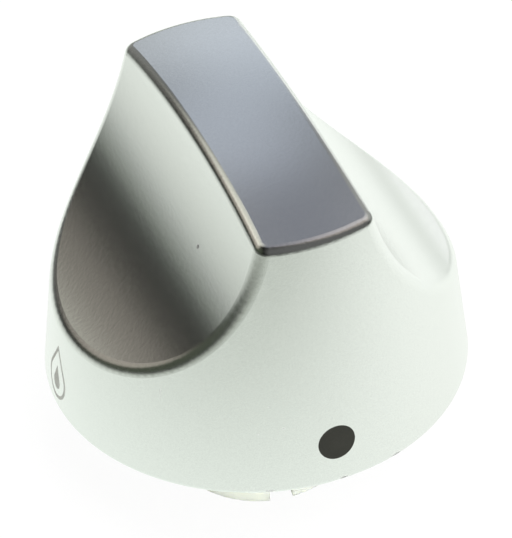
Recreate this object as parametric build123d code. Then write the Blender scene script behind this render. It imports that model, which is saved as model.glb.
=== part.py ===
from build123d import *
import math
import os

# Control knob of a gas hob: a crowned, drafted shell with two finger scoops that leave an upright grip,
# a moulded hub snapped inside its skirt, a leaf spring in the hub's D-bore, and two filled marks.
# The frame's origin is on the spindle's axis at the stem's free end, +Z points up the spindle.
# The grip runs along Y, its pointer end is at -Y, and the flame mark is by -X. Turns are counted from
# the pointer end towards -X.

# Shell, outside (millimetres and degrees; a rise is counted from the skirt's rim)
rim_diameter = 46.0
knob_rise = 33.15
skirt_draft = 5.55
crown_radius = 100.0
grip_width = 12.6
scoop_radius = 27.8
scoop_axis_rise = 36.35
lip_radius = 1.7
crown_edge_radius = 1.1
rim_edge_radius = 0.45

# Shell, inside
body_wall = 2.2
roof_wall = 2.4
skirt_wall = 1.5
seat_rise = 8.5
bead_depth = 0.4
bead_height = 1.0
key_width = 4.0
key_depth = 2.0
key_tail = 1.5

# Hub with its stem
stem_reach = 13.4
stem_diameter = 19.4
stem_wall = 1.8
stem_edge_radius = 0.4
slot_width = 2.6
slot_height = 8.0
slot_turn = 8.5
flange_thickness = 2.0
boss_diameter = 13.0
boss_roof = 2.0
web_thickness = 1.5
web_count = 4
gusset_thickness = 1.2
gusset_height = 3.5
gusset_margin = 1.5

# Spindle that the hub takes, and the bore's lengths from the stem's free end
spindle_diameter = 8.0
spindle_flat = 2.5
lead_in_length = 7.0
lead_in_relief = 0.2
bore_depth = 22.0
mouth_chamfer = 0.6

# Leaf spring in its pocket behind the bore's flat
spring_width = 3.8
spring_length = 11.0
spring_thickness = 0.35
spring_grip = 0.25
pocket_depth = 1.0
pocket_lip = 1.2

# Filled marks
mark_depth = 0.3
dot_diameter = 4.2
dot_rise = 5.2
flame_width = 4.8
flame_height = 6.9
flame_foot_rise = 1.2
flame_turn = 92.9
flame_line = 0.4
flame_core_width = 1.8
flame_core_height = 3.1
flame_core_lift = 1.1

# Clearances
seat_clearance = 0.1
key_clearance = 0.15
spindle_clearance = 0.05
spring_clearance = 0.1

# Values that follow from the sizes above
rim_z = stem_reach
top_z = rim_z + knob_rise
seat_z = rim_z + seat_rise
flange_z = seat_z - flange_thickness
rim_radius = rim_diameter / 2
taper = math.tan(math.radians(skirt_draft))
bore_radius = spindle_diameter / 2 + spindle_clearance
lead_in_radius = bore_radius + lead_in_relief
boss_radius = boss_diameter / 2
stem_radius = stem_diameter / 2
stem_bore_radius = stem_radius - stem_wall
flat_y = spindle_flat + spindle_clearance
scoop_axis_z = rim_z + scoop_axis_rise
scoop_axis_x = grip_width / 2 + math.sqrt(scoop_radius**2 - (scoop_axis_z - top_z) ** 2)
ON_FLOOR = (Align.CENTER, Align.CENTER, Align.MIN)


def skirt_radius(z):
    """Outside radius of the drafted skirt at a height in the frame."""
    return rim_radius - (z - rim_z) * taper


def cone_between(low_z, high_z, inset):
    """Solid cone parallel to the skirt, set in from it by a horizontal distance."""
    cone = Cone(skirt_radius(low_z) - inset, skirt_radius(high_z) - inset, high_z - low_z, align=ON_FLOOR)
    return Pos(0, 0, low_z) * cone


def scoop_pair(radius):
    """The two cylinders that hollow out the finger scoops, on either side of the grip."""
    scoop = Pos(scoop_axis_x, 0, scoop_axis_z) * Rot(90, 0, 0) * Cylinder(radius, 2 * rim_diameter)
    return [scoop, mirror(scoop, Plane.YZ)]


def knob_form(low_z, side_inset, top_inset, scoop_inset):
    """Crowned cone with its two scoops, set in from the outside by the given walls."""
    dome_z = top_z - crown_radius
    dome = Pos(0, 0, dome_z) * Rot(90, 0, 0) * Sphere(crown_radius - top_inset)
    form = cone_between(low_z, top_z, side_inset) & dome
    for scoop in scoop_pair(scoop_radius + scoop_inset):
        form -= scoop
    return form


def upright_box(size_x, size_y, low_z, high_z, centre_x=0.0, centre_y=0.0):
    """Box between two heights, centred at a place in plan."""
    return Pos(centre_x, centre_y, low_z) * Box(size_x, size_y, high_z - low_z, align=ON_FLOOR)


def both_sides(solid):
    """A solid at +X and its half-turn copy at -X."""
    return [solid, Rot(0, 0, 180) * solid]


def key_blocks(slack):
    """Two keys on the skirt's bore that stop the hub turning; slack widens them into the hub's notches."""
    reach = key_depth + slack + skirt_wall / 2
    centre_x = skirt_radius(seat_z) - skirt_wall / 2 - reach / 2
    low_z = flange_z - key_tail - slack
    return both_sides(upright_box(reach, key_width + 2 * slack, low_z, seat_z, centre_x))


def snap_bead():
    """Ring on the skirt's bore with a flat top, which the hub's flange snaps past."""
    wall_r = skirt_radius(flange_z) - skirt_wall
    root_r = wall_r + skirt_wall / 2
    section = Polyline(
        (root_r, flange_z),
        (wall_r - bead_depth, flange_z),
        (wall_r - bead_depth, flange_z - bead_depth),
        (root_r, flange_z - bead_height - bead_depth),
        close=True,
    )
    return revolve(Plane.XZ * make_face(section), Axis.Z)


def off_dot():
    """Filled round mark on the skirt under the grip's pointer end."""
    pin = Cylinder(dot_diameter / 2, rim_diameter, align=ON_FLOOR)
    return (Pos(0, 0, rim_z + dot_rise) * Rot(90, 0, 0) * pin) & mark_skin()


def mark_skin():
    """Thin conical skin of the skirt that the marks are cut from."""
    return cone_between(rim_z, seat_z, 0) - cone_between(rim_z, seat_z, mark_depth)


def drop_outline(width, height, foot):
    """Flat flame: a circle whose tangents meet in a point above it."""
    radius = width / 2
    rise = height - radius
    turn = math.acos(radius / rise)
    side_x = radius * math.sin(turn)
    side_y = radius * math.cos(turn)
    cap = make_face(Polyline((0, rise), (side_x, side_y), (-side_x, side_y), close=True))
    return Pos(0, foot + radius) * (Circle(radius) + cap)


def flame():
    """Filled flame sign on the skirt, past a quarter turn: an outline round a small solid flame."""
    shrink = (flame_width - 2 * flame_line) / flame_width
    outline = drop_outline(flame_width, flame_height, 0)
    hollow = drop_outline(flame_width - 2 * flame_line, flame_height * shrink, flame_line)
    core = drop_outline(flame_core_width, flame_core_height, flame_core_lift)
    view = Plane(origin=(0, -rim_diameter, rim_z + flame_foot_rise), x_dir=(1, 0, 0), z_dir=(0, -1, 0))
    sign = extrude(view * (outline - hollow + core), amount=-rim_diameter)
    return (Rot(0, 0, -flame_turn) * sign) & mark_skin()


def rounded_form():
    """Outside form with its edges rounded: first the scoops' lips on the skirt, then the crown's whole edge."""
    form = knob_form(rim_z, 0, 0, 0)
    crown_edges = form.faces().sort_by(Axis.Z)[-1].edges()
    upper_edges = form.edges().filter_by(lambda edge: edge.bounding_box().min.Z > rim_z + lip_radius)
    form = fillet([edge for edge in upper_edges if edge not in crown_edges], lip_radius)
    return fillet(form.faces().sort_by(Axis.Z)[-1].edges(), crown_edge_radius)


def knob_shell(marks):
    """One moulding: crowned skirt and grip, hollow inside, with a seat, keys and a bead for the hub."""
    form = rounded_form()
    rim_edges = form.edges().filter_by(lambda edge: edge.bounding_box().max.Z < rim_z + rim_edge_radius)
    form = fillet(rim_edges, min(rim_edge_radius, skirt_wall / 2))
    hollow = knob_form(seat_z, body_wall, roof_wall, body_wall)
    skirt_bore = cone_between(rim_z, seat_z, skirt_wall)
    shell = form - hollow - skirt_bore + snap_bead()
    for key in key_blocks(0):
        shell += key
    for mark in marks:
        shell -= mark
    return shell


def spring_pocket():
    """Recess behind the bore's flat that holds the leaf spring's ends."""
    low_z = lead_in_length + pocket_lip - spring_clearance
    high_z = lead_in_length + pocket_lip + spring_length + spring_clearance
    width = spring_width + 2 * spring_clearance
    depth = pocket_depth + spindle_flat
    return upright_box(width, depth, low_z, high_z, centre_y=flat_y + pocket_depth - depth / 2)


def spindle_bore():
    """What the spindle and its spring need out of the boss: mouth, round lead-in, D-bore and pocket."""
    lead_in = Cylinder(lead_in_radius, lead_in_length, align=ON_FLOOR)
    deep = Pos(0, 0, lead_in_length) * Cylinder(bore_radius, bore_depth - lead_in_length, align=ON_FLOOR)
    flat_block_y = flat_y + boss_radius
    flat = upright_box(boss_diameter, boss_diameter, lead_in_length, bore_depth, centre_y=flat_block_y)
    mouth = Cone(lead_in_radius + mouth_chamfer, lead_in_radius, mouth_chamfer, align=ON_FLOOR)
    return lead_in + (deep - flat) + spring_pocket() + mouth


def hub_webs():
    """Radial webs that join the boss to the sleeve of the stem, set between the stem's slots."""
    mid_r = (boss_radius + stem_bore_radius) / 2
    reach = stem_bore_radius - boss_radius + stem_wall
    web = upright_box(reach, web_thickness, 0, flange_z, centre_x=mid_r)
    turn = 360 / web_count
    return [Rot(0, 0, turn * (index + 0.5)) * web for index in range(web_count)]


def hub_gussets():
    """Small triangular ribs between the stem and the underside of the flange."""
    inner_r = stem_radius - stem_wall / 2
    outer_r = skirt_radius(flange_z) - skirt_wall - bead_depth - gusset_margin
    side = Polyline(
        (inner_r, flange_z),
        (outer_r, flange_z),
        (stem_radius, flange_z - gusset_height),
        (inner_r, flange_z - gusset_height),
        close=True,
    )
    gusset = extrude(Plane.XZ * make_face(side), amount=gusset_thickness / 2, both=True)
    turn = 360 / web_count
    return [Rot(0, 0, turn * (index + 0.5)) * gusset for index in range(web_count)]


def spindle_hub():
    """One moulding: flange in the skirt, slotted stem below it and the boss with the D-bore."""
    sleeve = Cylinder(stem_radius, flange_z, align=ON_FLOOR)
    foot_edges = sleeve.edges().filter_by(lambda edge: edge.bounding_box().max.Z < flange_z / 2)
    sleeve = fillet(foot_edges, min(stem_edge_radius, stem_wall / 2))
    sleeve -= Cylinder(stem_bore_radius, flange_z, align=ON_FLOOR)
    sleeve -= Rot(0, 0, -slot_turn) * upright_box(slot_width, stem_diameter, 0, slot_height)
    hub = sleeve + cone_between(flange_z, seat_z, skirt_wall + seat_clearance)
    hub += Cylinder(boss_radius, bore_depth + boss_roof, align=ON_FLOOR)
    for rib in hub_webs() + hub_gussets():
        hub += rib
    for notch in key_blocks(key_clearance):
        hub -= notch
    return hub - spindle_bore()


def grip_spring():
    """Bowed steel leaf: its ends bear on the pocket's floor, its middle presses on the spindle's flat."""
    back_y = flat_y + pocket_depth
    face_y = back_y - spring_thickness
    crest_y = flat_y - spring_grip
    low_z = lead_in_length + pocket_lip
    mid_z = low_z + spring_length / 2
    high_z = low_z + spring_length
    back = ThreePointArc((back_y, low_z), (crest_y + spring_thickness, mid_z), (back_y, high_z))
    front = ThreePointArc((face_y, high_z), (crest_y, mid_z), (face_y, low_z))
    ends = [Line(back @ 1, front @ 0), Line(front @ 1, back @ 0)]
    side = make_face([back, ends[0], front, ends[1]])
    return extrude(Plane.YZ * side, amount=spring_width / 2, both=True)


os.makedirs("parts", exist_ok=True)
dot = off_dot()
sign = flame()
nodes = {
    "knob_shell": knob_shell([dot, sign]),
    "spindle_hub": spindle_hub(),
    "grip_spring": grip_spring(),
    "off_mark": dot,
    "flame_mark": sign,
}
for name, shape in nodes.items():
    export_step(shape, f"parts/{name}.step")
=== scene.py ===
import math

import bpy
from bpy.props import FloatProperty, FloatVectorProperty, PointerProperty
from mathutils import Matrix, Vector


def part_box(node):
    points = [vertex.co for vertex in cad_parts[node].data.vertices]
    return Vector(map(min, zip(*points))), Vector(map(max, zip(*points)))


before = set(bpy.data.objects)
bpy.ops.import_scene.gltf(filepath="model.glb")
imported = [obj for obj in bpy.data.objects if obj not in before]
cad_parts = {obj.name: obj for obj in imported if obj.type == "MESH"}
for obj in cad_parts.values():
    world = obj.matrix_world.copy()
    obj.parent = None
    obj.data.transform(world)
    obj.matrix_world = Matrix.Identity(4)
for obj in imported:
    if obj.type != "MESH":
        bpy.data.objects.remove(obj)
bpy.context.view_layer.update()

bl_info = {
    "name": "Hob Knob Dresser",
    "version": (1, 0, 0),
    "blender": (4, 5, 0),
    "location": "View3D > Sidebar > Hob Knob",
    "description": "Gives the pieces of a gas hob knob their finishes and sets up a plain studio round it",
    "category": "Material",
}

MM = 0.001
SKIRT_LOW, SKIRT_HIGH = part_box("knob_shell")
RIM_Z = SKIRT_LOW.z
RIM_RADIUS = SKIRT_HIGH.x
SKIRT_SLOPE = math.tan(math.radians(5.55))
SEAT_RISE = 8.5 * MM


class HobKnobFinish(bpy.types.PropertyGroup):
    """Colours and sizes of the knob's finishes."""

    lacquer_colour: FloatVectorProperty(
        name="Lacquer", description="Silver lacquer of the shell", subtype="COLOR",
        size=4, default=(0.80, 0.82, 0.79, 1.0), min=0.0, max=1.0)
    lacquer_roughness: FloatProperty(
        name="Lacquer roughness", description="Satin spread of the lacquer's gloss",
        default=0.24, min=0.0, max=1.0)
    flake_size: FloatProperty(
        name="Flake size", description="Spacing of the lacquer's metal flakes",
        default=0.14 * MM, unit="LENGTH")
    peel_size: FloatProperty(
        name="Peel size", description="Spacing of the soft waves in the sprayed lacquer",
        default=0.4 * MM, unit="LENGTH")
    raw_colour: FloatVectorProperty(
        name="Raw shell", description="Bare moulding inside the skirt and under the chips",
        subtype="COLOR", size=4, default=(0.045, 0.045, 0.042, 1.0), min=0.0, max=1.0)
    hub_colour: FloatVectorProperty(
        name="Hub", description="Uncoloured plastic of the hub and stem", subtype="COLOR",
        size=4, default=(0.83, 0.86, 0.76, 1.0), min=0.0, max=1.0)
    spring_colour: FloatVectorProperty(
        name="Spring", description="Steel of the leaf spring", subtype="COLOR",
        size=4, default=(0.52, 0.52, 0.53, 1.0), min=0.0, max=1.0)
    mark_colour: FloatVectorProperty(
        name="Off mark", description="Paint in the off dot", subtype="COLOR",
        size=4, default=(0.014, 0.014, 0.011, 1.0), min=0.0, max=1.0)
    sign_colour: FloatVectorProperty(
        name="Flame mark", description="Paint in the flame sign", subtype="COLOR",
        size=4, default=(0.34, 0.345, 0.32, 1.0), min=0.0, max=1.0)


class HobKnobStage(bpy.types.PropertyGroup):
    """Camera, floor and light."""

    azimuth: FloatProperty(
        name="Azimuth", description="Camera's turn about the knob", subtype="ANGLE",
        default=math.radians(-21.14))
    elevation: FloatProperty(
        name="Elevation", description="Camera's height above the floor", subtype="ANGLE",
        default=math.radians(40.57))
    roll: FloatProperty(
        name="Roll", description="Camera's lean to one side", subtype="ANGLE",
        default=math.radians(-2.37))
    distance: FloatProperty(
        name="Distance", description="Camera to the point it looks at", unit="LENGTH", default=0.7)
    lens: FloatProperty(
        name="Lens", description="Focal length in millimetres for a 36 mm sensor", default=437.7)
    aim: FloatVectorProperty(
        name="Aim", description="Point that the camera looks at", subtype="TRANSLATION",
        size=3, default=(-0.279 * MM, -1.606 * MM, 26.514 * MM))
    floor_size: FloatProperty(
        name="Floor", description="Side of the square floor", unit="LENGTH", default=6.0)
    floor_colour: FloatVectorProperty(
        name="Floor colour", description="Pale floor", subtype="COLOR",
        size=4, default=(0.93, 0.945, 0.925, 1.0), min=0.0, max=1.0)
    softbox_power: FloatProperty(
        name="Softbox", description="Power of the softbox overhead", unit="POWER", default=22.0)
    fill_power: FloatProperty(
        name="Low fill", description="Power of the low softbox in front", unit="POWER", default=5.0)


def add_node(tree, kind, settings=None, inputs=None):
    """Adds a node, sets its properties, and sets or links its inputs by name or number."""
    made = tree.nodes.new(kind)
    for name, value in (settings or {}).items():
        setattr(made, name, value)
    for name, value in (inputs or {}).items():
        if isinstance(value, bpy.types.NodeSocket):
            tree.links.new(value, made.inputs[name])
        else:
            made.inputs[name].default_value = value
    return made


def math_node(tree, operation, first, second=0.0, clamp=False):
    """Adds a Math node and returns its result."""
    settings = {"operation": operation, "use_clamp": clamp}
    return add_node(tree, "ShaderNodeMath", settings, {0: first, 1: second}).outputs[0]


def vector_node(tree, operation, first, second=(0.0, 0.0, 0.0)):
    """Adds a Vector Math node and returns it."""
    return add_node(tree, "ShaderNodeVectorMath", {"operation": operation}, {0: first, 1: second})


def mix_colour(tree, factor, first, second):
    """Mixes two colours and returns the result."""
    mixed = add_node(tree, "ShaderNodeMix", {"data_type": "RGBA"}, {0: factor, 6: first, 7: second})
    return mixed.outputs[2]


def remap(tree, value, low, high, to_low=0.0, to_high=1.0):
    """Maps a value smoothly from one span to another, clamped at both ends."""
    inputs = {"Value": value, "From Min": low, "From Max": high, "To Min": to_low, "To Max": to_high}
    settings = {"interpolation_type": "SMOOTHSTEP"}
    return add_node(tree, "ShaderNodeMapRange", settings, inputs).outputs["Result"]


def noise(tree, vector, scale, detail=2.0):
    """Adds a noise texture and returns its value, centred on a half."""
    inputs = {"Vector": vector, "Scale": scale, "Detail": detail}
    return add_node(tree, "ShaderNodeTexNoise", None, inputs).outputs[0]


def new_group(name, inputs, outputs):
    """Makes a shader node group with named sockets and returns it with its two end nodes."""
    group = bpy.data.node_groups.new(name, "ShaderNodeTree")
    for socket_name, kind, value in inputs:
        socket = group.interface.new_socket(socket_name, in_out="INPUT", socket_type=kind)
        if value is not None:
            socket.default_value = value
    for socket_name, kind in outputs:
        group.interface.new_socket(socket_name, in_out="OUTPUT", socket_type=kind)
    return group, group.nodes.new("NodeGroupInput"), group.nodes.new("NodeGroupOutput")


def place_group(tree, group, inputs):
    """Places a node group in a material with its own values."""
    return add_node(tree, "ShaderNodeGroup", {"node_tree": group}, inputs)


def flake_group():
    """Metal flakes and soft spray waves: a tone, a roughness share and a height."""
    group, given, result = new_group(
        "Lacquer Flakes",
        [("Vector", "NodeSocketVector", None), ("Flake", "NodeSocketFloat", 0.0001),
         ("Peel", "NodeSocketFloat", 0.001)],
        [("Tone", "NodeSocketFloat"), ("Gloss", "NodeSocketFloat"), ("Height", "NodeSocketFloat")])
    place = given.outputs["Vector"]
    flake_scale = math_node(group, "DIVIDE", 1.0, given.outputs["Flake"])
    peel_scale = math_node(group, "DIVIDE", 1.0, given.outputs["Peel"])
    flakes = noise(group, place, flake_scale, 1.0)
    waves = noise(group, place, peel_scale, 3.0)
    group.links.new(remap(group, flakes, 0.25, 0.75, 0.965, 1.03), result.inputs["Tone"])
    group.links.new(remap(group, waves, 0.3, 0.7, 0.96, 1.04), result.inputs["Gloss"])
    height = math_node(group, "ADD", math_node(group, "MULTIPLY", flakes, 0.12), waves)
    group.links.new(height, result.inputs["Height"])
    return group


def fleck_group():
    """A ragged spot round a point: chips, specks and scratches are placed with it."""
    group, given, result = new_group(
        "Fleck",
        [("Vector", "NodeSocketVector", None), ("Centre", "NodeSocketVector", None),
         ("Reach", "NodeSocketVector", None), ("Core", "NodeSocketFloat", 0.7),
         ("Ragged", "NodeSocketFloat", 0.5), ("Depth", "NodeSocketFloat", 1.0)],
        [("Mask", "NodeSocketFloat")])
    offset = vector_node(group, "SUBTRACT", given.outputs["Vector"], given.outputs["Centre"]).outputs[0]
    share = vector_node(group, "DIVIDE", offset, given.outputs["Reach"]).outputs[0]
    length = vector_node(group, "LENGTH", share).outputs["Value"]
    rough = math_node(group, "SUBTRACT", noise(group, given.outputs["Vector"], 4000.0), 0.5)
    edge = math_node(group, "ADD", length, math_node(group, "MULTIPLY", rough, given.outputs["Ragged"]))
    spot = remap(group, edge, given.outputs["Core"], 1.1, given.outputs["Depth"], 0.0)
    group.links.new(spot, result.inputs["Mask"])
    return group


def moulded_group():
    """Faint mottle and bump of a moulded or painted plastic surface."""
    group, given, result = new_group(
        "Moulded Skin",
        [("Vector", "NodeSocketVector", None), ("Grain", "NodeSocketFloat", 0.001)],
        [("Tone", "NodeSocketFloat"), ("Gloss", "NodeSocketFloat"), ("Height", "NodeSocketFloat")])
    scale = math_node(group, "DIVIDE", 1.0, given.outputs["Grain"])
    fine = noise(group, given.outputs["Vector"], scale, 4.0)
    broad = noise(group, given.outputs["Vector"], math_node(group, "MULTIPLY", scale, 0.12), 2.0)
    group.links.new(remap(group, broad, 0.3, 0.7, 0.94, 1.04), result.inputs["Tone"])
    group.links.new(remap(group, fine, 0.3, 0.7, 0.85, 1.15), result.inputs["Gloss"])
    group.links.new(fine, result.inputs["Height"])
    return group


def new_material(name):
    """Makes an empty node material and returns it with its shader and object coordinates."""
    material = bpy.data.materials.new(name)
    material.use_nodes = True
    tree = material.node_tree
    tree.nodes.clear()
    output = tree.nodes.new("ShaderNodeOutputMaterial")
    shader = tree.nodes.new("ShaderNodeBsdfPrincipled")
    tree.links.new(shader.outputs[0], output.inputs["Surface"])
    place = tree.nodes.new("ShaderNodeTexCoord").outputs["Object"]
    return material, tree, shader, place


def bump(tree, height, strength, distance):
    """Turns a height into a bumped normal."""
    inputs = {"Height": height, "Strength": strength, "Distance": distance}
    return add_node(tree, "ShaderNodeBump", None, inputs).outputs[0]


def give_material(node_name, material):
    """Gives a CAD node one material in place of its own."""
    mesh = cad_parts[node_name].data
    mesh.materials.clear()
    mesh.materials.append(material)


# Soft panels of the studio: azimuth, elevation, inner and outer half angle in degrees, then colour
PANELS = {
    "lamp behind": (25.0, 22.0, 1.0, 18.0, (0.60, 0.65, 0.76)),
    "lamp behind, high": (17.0, 43.0, 0.0, 13.0, (0.51, 0.55, 0.65)),
    "lamp behind right, low": (42.0, 1.0, 1.0, 19.0, (1.30, 1.32, 1.32)),
    "glow along the horizon": (-3.0, 2.0, 13.0, 40.0, (0.26, 0.26, 0.25)),
    "warm skylight": (-30.0, 56.0, 5.0, 27.0, (0.84, 0.82, 0.73)),
    "left window": (-57.0, 36.0, 16.0, 22.0, (0.41, 0.37, 0.33)),
    "left wall": (-89.0, 18.0, 15.0, 43.0, (0.06, 0.07, 0.05)),
    "right wall": (75.0, 31.0, 10.0, 41.0, (0.39, 0.39, 0.38)),
    "ceiling, right": (53.0, 70.0, 11.0, 33.0, (0.19, 0.20, 0.25)),
    "ceiling, front right": (102.0, 58.0, 7.0, 31.0, (0.36, 0.31, 0.29)),
    "room in front": (164.0, 27.0, 11.0, 63.0, (0.13, 0.13, 0.13)),
}

# What the room shows a mirror between its panels
ROOM_TONE = (0.003, 0.003, 0.003)

# The floor lies just under the stem, and the bright side of its painted reflection is at this heading in
# degrees.
# The span gives the cosines from that heading between which the painted reflection goes from dark to bright.
# The glow is the share of plain white in what the camera sees of it.
FLOOR_DROP = 0.02 * MM
FLOOR_TURN = 56.0
FLOOR_SPAN = (-1.1, 0.85)
FLOOR_GLOW = 0.95

# Painted pools of light on the floor, seen only in reflections: inner and outer distance in metres, then
# colour on its dark and its bright side
PAINTED_FLOOR_POOLS = {
    "far floor": (50.0, 60.0, (0.0, 0.0, 0.0), (0.63, 0.69, 0.61)),
    "wide pool": (0.15, 0.60, (0.0, 0.0, 0.0), (0.95, 0.97, 0.96)),
    "near pool": (0.09, 0.35, (0.46, 0.49, 0.44), (1.16, 1.20, 1.16)),
    "foot of the knob": (0.014, 0.137, (1.07, 1.13, 1.08), (1.06, 1.09, 1.05)),
}

# Worn spots of the lacquer: centre and reach in millimetres, then core, raggedness and depth
WEAR = {
    "rim chip, middle": ((0.5, -22.9, 13.8), (0.62, 0.5, 0.2), 0.3, 0.7, 0.80),
    "rim chip, right": ((7.1, -21.8, 13.75), (1.0, 0.6, 0.2), 0.3, 0.8, 0.80),
    "rim chip, left": ((-7.4, -21.7, 13.8), (0.7, 0.5, 0.2), 0.3, 0.7, 0.60),
    "rubbed line on the rim": ((4.6, -22.3, 13.5), (7.0, 3.0, 0.22), 0.2, 0.3, 0.28),
    "fleck in the scoop": ((-9.0, -7.6, 37.4), (0.3, 0.3, 0.34), 0.5, 0.3, 0.85),
    "hairline on the skirt": ((-16.5, -14.3, 25.2), (0.14, 0.14, 1.7), 0.0, 0.2, 0.22),
    "speck, low left": ((-8.2, -20.7, 21.3), (0.26, 0.2, 0.12), 0.1, 0.3, 0.25),
    "speck, low right": ((-5.6, -21.5, 21.8), (0.3, 0.2, 0.14), 0.1, 0.3, 0.25),
    "speck, upper": ((-6.8, -20.8, 24.7), (0.22, 0.2, 0.1), 0.1, 0.3, 0.18),
}


def wear_mask(tree, group, place):
    """The strongest of the worn spots at each place."""
    mask = 0.0
    for centre, reach, core, ragged, depth in WEAR.values():
        inputs = {
            "Vector": place,
            "Centre": [value * MM for value in centre],
            "Reach": [value * MM for value in reach],
            "Core": core,
            "Ragged": ragged,
            "Depth": depth,
        }
        mask = math_node(tree, "MAXIMUM", place_group(tree, group, inputs).outputs["Mask"], mask)
    return mask


def bare_inside_mask(tree, place):
    """One inside the skirt, where the moulding has no lacquer, and nought outside it."""
    parts = add_node(tree, "ShaderNodeSeparateXYZ", None, {0: place})
    flat = add_node(tree, "ShaderNodeCombineXYZ", None, {0: parts.outputs[0], 1: parts.outputs[1]})
    radius = vector_node(tree, "LENGTH", flat.outputs[0]).outputs["Value"]
    rise = math_node(tree, "SUBTRACT", parts.outputs[2], RIM_Z)
    skirt = math_node(tree, "SUBTRACT", RIM_RADIUS, math_node(tree, "MULTIPLY", rise, SKIRT_SLOPE))
    depth = math_node(tree, "SUBTRACT", skirt, radius)
    inside = remap(tree, depth, 0.7 * MM, 1.3 * MM)
    below = remap(tree, rise, SEAT_RISE + 0.2 * MM, SEAT_RISE + 0.6 * MM, 1.0, 0.0)
    return math_node(tree, "MULTIPLY", inside, below)


class HOBKNOB_OT_finish_shell(bpy.types.Operator):
    """Satin silver lacquer with flakes, chips on the rim and bare plastic inside the skirt"""

    bl_idname = "hobknob.finish_shell"
    bl_label = "Lacquer the shell"

    def execute(self, context):
        look = context.scene.hob_knob_finish
        material, tree, shader, place = new_material("silver_lacquer")
        sizes = {"Vector": place, "Flake": look.flake_size, "Peel": look.peel_size}
        flakes = place_group(tree, flake_group(), sizes)
        worn = wear_mask(tree, fleck_group(), place)
        bare = math_node(tree, "MAXIMUM", worn, bare_inside_mask(tree, place))
        silver = vector_node(tree, "SCALE", tuple(look.lacquer_colour[:3]))
        tree.links.new(flakes.outputs["Tone"], silver.inputs["Scale"])
        colour = mix_colour(tree, bare, silver.outputs[0], tuple(look.raw_colour))
        tree.links.new(colour, shader.inputs["Base Color"])
        tree.links.new(math_node(tree, "SUBTRACT", 1.0, bare, clamp=True), shader.inputs["Metallic"])
        satin = math_node(tree, "MULTIPLY", flakes.outputs["Gloss"], look.lacquer_roughness)
        rough = math_node(tree, "MAXIMUM", satin, math_node(tree, "MULTIPLY", bare, 0.6))
        tree.links.new(rough, shader.inputs["Roughness"])
        tree.links.new(bump(tree, flakes.outputs["Height"], 1.0, 0.005 * MM), shader.inputs["Normal"])
        give_material("knob_shell", material)
        return {"FINISHED"}


class HOBKNOB_OT_finish_hub(bpy.types.Operator):
    """Off-white plastic with faint mottle on the hub and its stem"""

    bl_idname = "hobknob.finish_hub"
    bl_label = "Finish the hub"

    def execute(self, context):
        look = context.scene.hob_knob_finish
        material, tree, shader, place = new_material("natural_plastic")
        skin = place_group(tree, moulded_group(), {"Vector": place, "Grain": 0.5 * MM})
        tone = vector_node(tree, "SCALE", tuple(look.hub_colour[:3]))
        tree.links.new(skin.outputs["Tone"], tone.inputs["Scale"])
        tree.links.new(tone.outputs[0], shader.inputs["Base Color"])
        tree.links.new(math_node(tree, "MULTIPLY", skin.outputs["Gloss"], 0.42), shader.inputs["Roughness"])
        tree.links.new(bump(tree, skin.outputs["Height"], 0.1, 0.03 * MM), shader.inputs["Normal"])
        shader.inputs["Subsurface Weight"].default_value = 0.6
        shader.inputs["Subsurface Radius"].default_value = (1.0, 1.0, 0.8)
        shader.inputs["Subsurface Scale"].default_value = 2.0 * MM
        give_material("spindle_hub", material)
        return {"FINISHED"}


class HOBKNOB_OT_finish_spring(bpy.types.Operator):
    """Rolled steel strip with fine lines along its length"""

    bl_idname = "hobknob.finish_spring"
    bl_label = "Finish the spring"

    def execute(self, context):
        look = context.scene.hob_knob_finish
        material, tree, shader, place = new_material("spring_steel")
        stretch = {"Vector": place, "Scale": (9000.0, 9000.0, 260.0)}
        stretched = add_node(tree, "ShaderNodeMapping", None, stretch)
        lines = noise(tree, stretched.outputs[0], 1.0, 3.0)
        tone = vector_node(tree, "SCALE", tuple(look.spring_colour[:3]))
        tree.links.new(remap(tree, lines, 0.3, 0.7, 0.85, 1.1), tone.inputs["Scale"])
        tree.links.new(tone.outputs[0], shader.inputs["Base Color"])
        tree.links.new(remap(tree, lines, 0.3, 0.7, 0.22, 0.40), shader.inputs["Roughness"])
        tree.links.new(bump(tree, lines, 0.15, 0.01 * MM), shader.inputs["Normal"])
        shader.inputs["Metallic"].default_value = 1.0
        give_material("grip_spring", material)
        return {"FINISHED"}


class HOBKNOB_OT_finish_marks(bpy.types.Operator):
    """Dark grey paint in the off dot and mid grey paint in the flame sign"""

    bl_idname = "hobknob.finish_marks"
    bl_label = "Paint the marks"

    def execute(self, context):
        look = context.scene.hob_knob_finish
        group = bpy.data.node_groups["Moulded Skin"]
        self.paint("off_mark", "mark_fill", group, look.mark_colour)
        self.paint("flame_mark", "sign_fill", group, look.sign_colour)
        return {"FINISHED"}

    def paint(self, node_name, slot, group, colour):
        """Gives a mark its own paint, with a faint mottle."""
        material, tree, shader, place = new_material(slot)
        skin = place_group(tree, group, {"Vector": place, "Grain": 0.2 * MM})
        tone = vector_node(tree, "SCALE", tuple(colour[:3]))
        tree.links.new(skin.outputs["Tone"], tone.inputs["Scale"])
        tree.links.new(tone.outputs[0], shader.inputs["Base Color"])
        tree.links.new(math_node(tree, "MULTIPLY", skin.outputs["Gloss"], 0.55), shader.inputs["Roughness"])
        tree.links.new(bump(tree, skin.outputs["Height"], 0.12, 0.02 * MM), shader.inputs["Normal"])
        shader.inputs["Specular IOR Level"].default_value = 0.2
        give_material(node_name, material)


def direction_of(azimuth, elevation):
    """Unit vector to a place round the knob: azimuth 0 is +Y, behind it, and 90 is +X, both in degrees."""
    turn, lift = math.radians(azimuth), math.radians(elevation)
    return (math.sin(turn) * math.cos(lift), math.cos(turn) * math.cos(lift), math.sin(lift))


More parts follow.
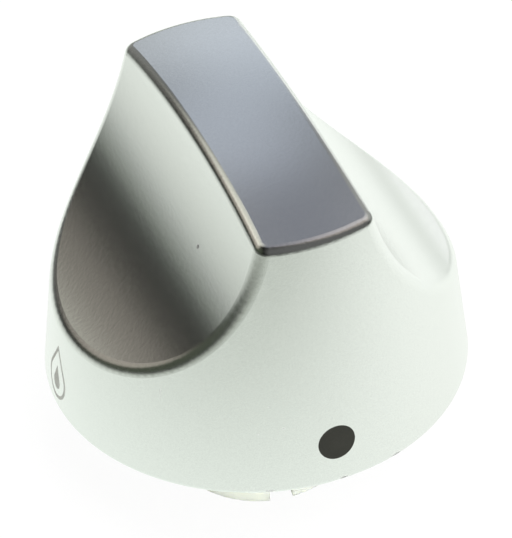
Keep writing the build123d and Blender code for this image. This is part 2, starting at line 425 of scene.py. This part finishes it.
def floor_material(stage):
    """Pale floor that shows white with a faint shadow, and painted pools of light that only the knob's
    reflections show.
    """
    material = bpy.data.materials.new("pale_floor")
    material.use_nodes = True
    tree = material.node_tree
    tree.nodes.clear()
    output = tree.nodes.new("ShaderNodeOutputMaterial")
    place = tree.nodes.new("ShaderNodeTexCoord").outputs["Object"]
    distance = vector_node(tree, "LENGTH", place).outputs["Value"]
    heading = vector_node(tree, "NORMALIZE", place).outputs[0]
    toward = vector_node(tree, "DOT_PRODUCT", heading, direction_of(FLOOR_TURN, 0.0)).outputs["Value"]
    side = remap(tree, toward, *FLOOR_SPAN)
    # Painted reflection: pools of light by distance and heading, emitted only towards glossy and transmission
    # rays
    painted_pool = (0.0, 0.0, 0.0, 1.0)
    for inner, outer, dark, bright in PAINTED_FLOOR_POOLS.values():
        tone = mix_colour(tree, side, (*dark, 1.0), (*bright, 1.0))
        painted_pool = mix_colour(tree, remap(tree, distance, inner, outer, 1.0, 0.0), painted_pool, tone)
    path = tree.nodes.new("ShaderNodeLightPath")
    mirrored = math_node(tree, "MAXIMUM", path.outputs["Is Glossy Ray"], path.outputs["Is Transmission Ray"])
    shown = mix_colour(tree, mirrored, (1.0, 1.0, 1.0, 1.0), painted_pool)
    matt = add_node(tree, "ShaderNodeBsdfDiffuse", None, {"Color": tuple(stage.floor_colour)})
    glow = add_node(tree, "ShaderNodeEmission", None, {"Color": shown, "Strength": 1.0})
    seen = math_node(tree, "MULTIPLY", path.outputs["Is Camera Ray"], FLOOR_GLOW)
    share = math_node(tree, "MAXIMUM", seen, mirrored)
    mixed = add_node(tree, "ShaderNodeMixShader", None, {0: share, 1: matt.outputs[0], 2: glow.outputs[0]})
    tree.links.new(mixed.outputs[0], output.inputs["Surface"])
    return material


def studio_world():
    """A dark room with soft panels in it, white where the camera sees it."""
    world = bpy.data.worlds.new("studio")
    bpy.context.scene.world = world
    world.use_nodes = True
    tree = world.node_tree
    tree.nodes.clear()
    output = tree.nodes.new("ShaderNodeOutputWorld")
    direction = tree.nodes.new("ShaderNodeTexCoord").outputs["Generated"]
    total = ROOM_TONE
    for azimuth, elevation, inner, outer, colour in PANELS.values():
        centre = direction_of(azimuth, elevation)
        toward = vector_node(tree, "DOT_PRODUCT", direction, centre).outputs["Value"]
        share = remap(tree, toward, math.cos(math.radians(outer)), math.cos(math.radians(inner)))
        panel = vector_node(tree, "SCALE", colour)
        tree.links.new(share, panel.inputs["Scale"])
        total = vector_node(tree, "ADD", panel.outputs[0], total).outputs[0]
    path = tree.nodes.new("ShaderNodeLightPath")
    shown = mix_colour(tree, path.outputs["Is Camera Ray"], total, (1.0, 1.0, 1.0, 1.0))
    background = add_node(tree, "ShaderNodeBackground", None, {"Color": shown, "Strength": 1.0})
    tree.links.new(background.outputs[0], output.inputs["Surface"])


class HOBKNOB_OT_stage(bpy.types.Operator):
    """Pale floor, studio surround, softbox overhead and the camera"""

    bl_idname = "hobknob.stage"
    bl_label = "Set the stage"

    def execute(self, context):
        stage = context.scene.hob_knob_stage
        bpy.ops.object.select_all(action="DESELECT")
        bpy.ops.mesh.primitive_plane_add(size=stage.floor_size, location=(0.0, 0.0, -FLOOR_DROP))
        floor = context.active_object
        floor.name = "floor"
        floor.data.materials.append(floor_material(stage))
        studio_world()
        self.add_lamp(context, "softbox", (0.15, -0.35, 0.9), 0.8, stage.softbox_power)
        self.add_lamp(context, "low_fill", (-0.1, -0.7, 0.12), 0.5, stage.fill_power)
        self.add_camera(context, stage)
        context.scene.view_settings.view_transform = "Standard"
        return {"FINISHED"}

    def add_lamp(self, context, name, place, size, power):
        """Adds a square softbox that faces the knob and lights it without a hard glint."""
        bpy.ops.object.light_add(type="AREA", location=place)
        lamp = context.active_object
        lamp.name = name
        lamp.rotation_euler = Vector(place).to_track_quat("Z", "Y").to_euler()
        lamp.data.size = size
        lamp.data.energy = power
        lamp.visible_glossy = False

    def add_camera(self, context, stage):
        """Puts the camera where the stage's angles say, looking at the aim."""
        turn, lift = stage.azimuth, stage.elevation
        back = Vector((math.sin(turn) * math.cos(lift), -math.cos(turn) * math.cos(lift), math.sin(lift)))
        right = Vector((math.cos(turn), math.sin(turn), 0.0))
        axes = Matrix((right, back.cross(right), back)).transposed()
        pose = axes.to_4x4() @ Matrix.Rotation(stage.roll, 4, "Z")
        pose.translation = Vector(stage.aim) + back * stage.distance
        bpy.ops.object.camera_add()
        camera = context.active_object
        camera.name = "photo_camera"
        camera.matrix_world = pose
        camera.data.lens = stage.lens
        camera.data.clip_start = 0.01
        context.scene.camera = camera


class HOBKNOB_PT_panel(bpy.types.Panel):
    """Lists the knob's finishes and its stage"""

    bl_idname = "HOBKNOB_PT_panel"
    bl_label = "Hob Knob"
    bl_space_type = "VIEW_3D"
    bl_region_type = "UI"
    bl_category = "Hob Knob"

    def draw(self, context):
        layout = self.layout
        for operator in OPERATORS:
            layout.operator(operator.bl_idname)
        for settings in (context.scene.hob_knob_finish, context.scene.hob_knob_stage):
            box = layout.box()
            for name in settings.__annotations__:
                box.prop(settings, name)


OPERATORS = (
    HOBKNOB_OT_finish_shell,
    HOBKNOB_OT_finish_hub,
    HOBKNOB_OT_finish_spring,
    HOBKNOB_OT_finish_marks,
    HOBKNOB_OT_stage,
)
CLASSES = (HobKnobFinish, HobKnobStage, *OPERATORS, HOBKNOB_PT_panel)


def register():
    for made in CLASSES:
        bpy.utils.register_class(made)
    bpy.types.Scene.hob_knob_finish = PointerProperty(type=HobKnobFinish)
    bpy.types.Scene.hob_knob_stage = PointerProperty(type=HobKnobStage)


def unregister():
    del bpy.types.Scene.hob_knob_stage
    del bpy.types.Scene.hob_knob_finish
    for made in reversed(CLASSES):
        bpy.utils.unregister_class(made)


def main():
    """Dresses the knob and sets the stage."""
    register()
    bpy.ops.hobknob.finish_shell()
    bpy.ops.hobknob.finish_hub()
    bpy.ops.hobknob.finish_spring()
    bpy.ops.hobknob.finish_marks()
    bpy.ops.hobknob.stage()


if __name__ == "__main__":
    main()
